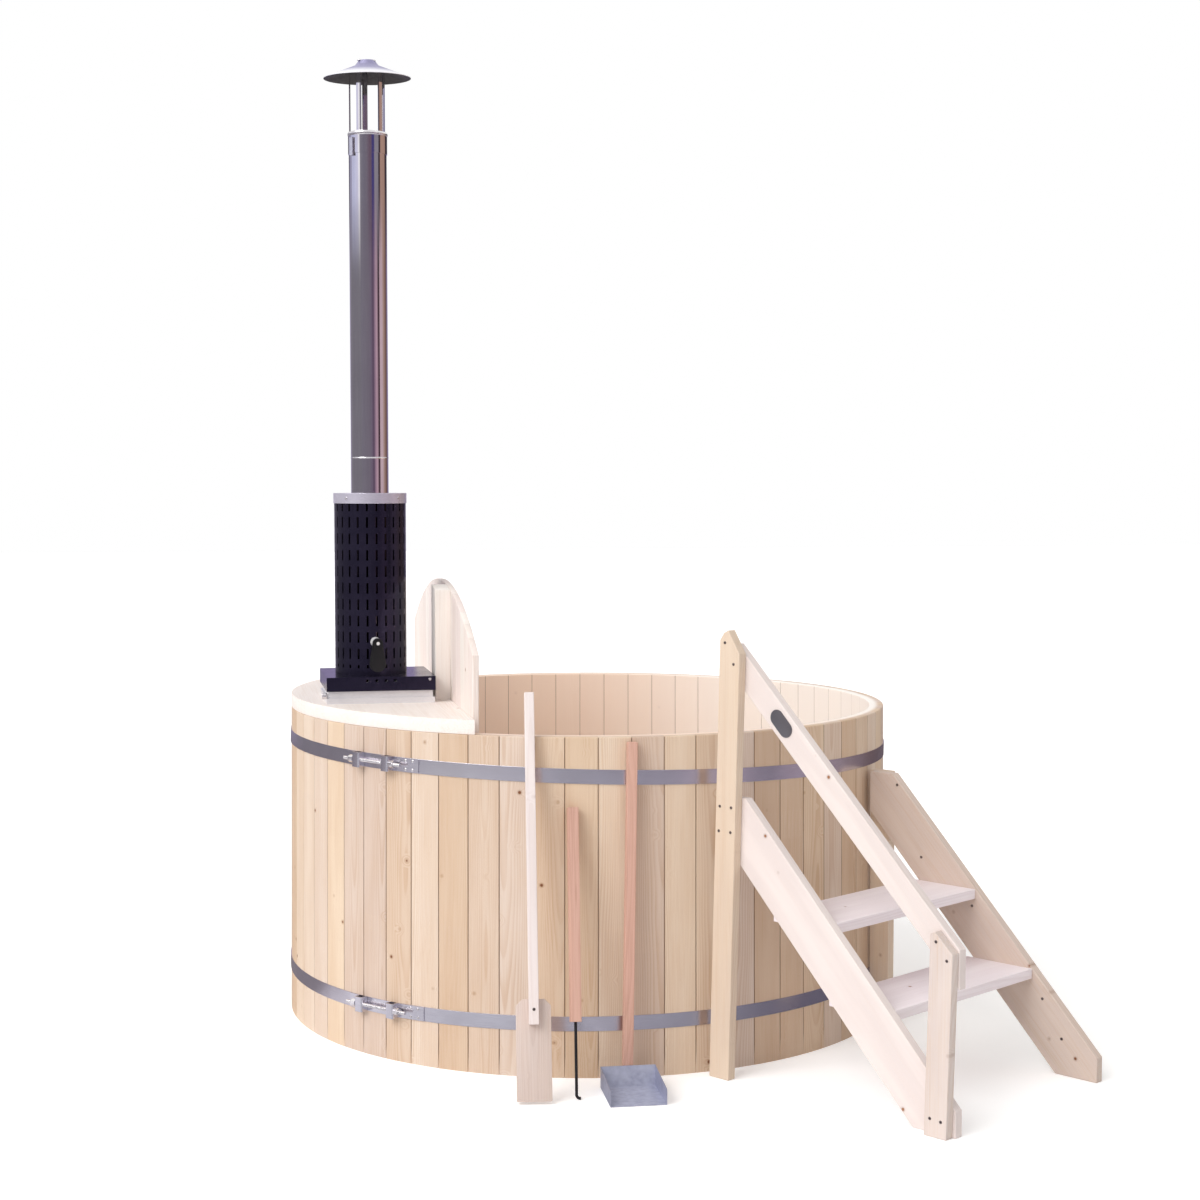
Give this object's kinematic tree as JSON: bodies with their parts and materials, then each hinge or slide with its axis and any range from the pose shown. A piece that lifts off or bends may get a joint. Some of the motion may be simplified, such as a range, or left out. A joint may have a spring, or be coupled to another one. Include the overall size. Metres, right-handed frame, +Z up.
{
  "type": "wooden hot tub with wood-fired stove",
  "caption": "Round staved wooden tub with steel hoops, an inner stove with a tall flue behind an arched fence, side stairs with a handrail, and stove tools.",
  "frame": {"origin": "on the tub's axis at the ground, under the middle bearer", "axes": "+Z up; +X from the stove behind the fence towards the bathers; +Y along the fence, so the stairs and tools stand on the -Y side"},
  "size_m": [2.1091, 2.6534, 2.8531],
  "materials": {
    "tub_wood": "planed pale spruce with knots, clear oil",
    "inner_wood": "planed pale spruce",
    "board_wood": "planed light spruce boards",
    "handle_wood": "reddish planed hardwood",
    "band_steel": "satin stainless band",
    "fastener_steel": "bright stainless",
    "screw_steel": "dull screw heads",
    "flue_steel": "mirror-polished stainless",
    "flange_metal": "satin bright metal",
    "stove_metal": "welded sheet, satin",
    "black_metal": "black heat-proof paint, satin",
    "grate_iron": "rough cast iron",
    "galvanised": "galvanised sheet",
    "rod_iron": "black painted iron",
    "plate_metal": "dark cast plate, blank",
    "pipe_plastic": "grey pipe",
    "valve_brass": "bright brass",
    "lever_paint": "red painted lever",
    "knob_black": "black bakelite-like knob"
  },
  "bodies": {
    "tub": {"wall_staves": "tub_wood", "floor_boards": "inner_wood", "floor_bearers": "inner_wood", "upper_hoop": "band_steel", "lower_hoop": "band_steel", "tension_lugs": "fastener_steel", "tension_rods": "fastener_steel", "tension_nuts": "fastener_steel", "hoop_rivets": "fastener_steel", "deck_boards": "board_wood", "deck_battens": "board_wood", "fence_boards": "board_wood", "fence_posts": "board_wood", "fence_rails": "board_wood", "front_bench": "inner_wood", "side_bench": "inner_wood", "rear_bench": "inner_wood", "bench_supports": "inner_wood", "stove_body": "stove_metal", "fire_grate": "grate_iron", "hatch_collar": "stove_metal", "stove_flange": "flange_metal", "stove_cover": "black_metal", "lower_flue": "flue_steel", "upper_flue": "flue_steel", "flue_band": "flue_steel", "heat_shield": "black_metal", "shield_collar": "flange_metal", "collar_screws": "fastener_steel", "cap_legs": "flue_steel", "rain_cap": "flue_steel", "hatch_pins": "fastener_steel", "drain_pipe": "pipe_plastic", "drain_valve": "valve_brass"},
    "damper": {"damper_spindle": "fastener_steel", "damper_plate": "grate_iron", "damper_lever": "black_metal"},
    "hatch": {"hatch_lid": "stove_metal", "hatch_knob": "knob_black"},
    "air_slide": {"air_shutter": "flange_metal", "air_knob": "fastener_steel"},
    "valve": {"valve_ball": "valve_brass", "valve_lever": "lever_paint"},
    "stairs": {"near_stringer": "board_wood", "far_stringer": "board_wood", "tall_post": "board_wood", "short_post": "board_wood", "rear_post": "board_wood", "upper_tread": "board_wood", "lower_tread": "board_wood", "handrail": "board_wood", "oval_plate": "plate_metal", "stair_screws": "screw_steel"},
    "paddle": {"paddle_blade": "board_wood", "paddle_handle": "board_wood", "paddle_screw": "screw_steel"},
    "poker": {"poker_handle": "handle_wood", "poker_rod": "rod_iron"},
    "shovel": {"scoop": "galvanised", "shovel_handle": "handle_wood"}
  },
  "joints": [
    {"name": "damper_turn", "type": "hinge", "parent": "tub", "child": "damper", "pos_m": [-0.692, -0.1666, 1.146], "axis": [0.0349, -0.9994, 0], "range_deg": [0, 90]},
    {"name": "hatch_hinge", "type": "hinge", "parent": "tub", "child": "hatch", "pos_m": [-0.551, 0.18, 1.003], "axis": [0, 1, 0], "range_deg": [0, 90]},
    {"name": "air_slide", "type": "slide", "parent": "tub", "child": "air_slide", "axis": [-1, 0, 0], "range_m": [0, 0.013]},
    {"name": "valve_turn", "type": "hinge", "parent": "tub", "child": "valve", "pos_m": [0.2068, 0.9761, 0.03], "axis": [0, 0, -1], "range_deg": [0, 90]},
    {"name": "stairs_away", "type": "slide", "parent": "tub", "child": "stairs", "axis": [0.5577, -0.83, 0], "range_m": [0, 0.3]},
    {"name": "paddle_lift", "type": "slide", "parent": "tub", "child": "paddle", "axis": [0, 0, 1], "range_m": [0, 0.3]},
    {"name": "poker_lift", "type": "slide", "parent": "tub", "child": "poker", "axis": [-0.0421, -0.1915, 0.9806], "range_m": [0, 0.3]},
    {"name": "shovel_lift", "type": "slide", "parent": "tub", "child": "shovel", "axis": [0, 0, 1], "range_m": [0, 0.3]}
  ]
}
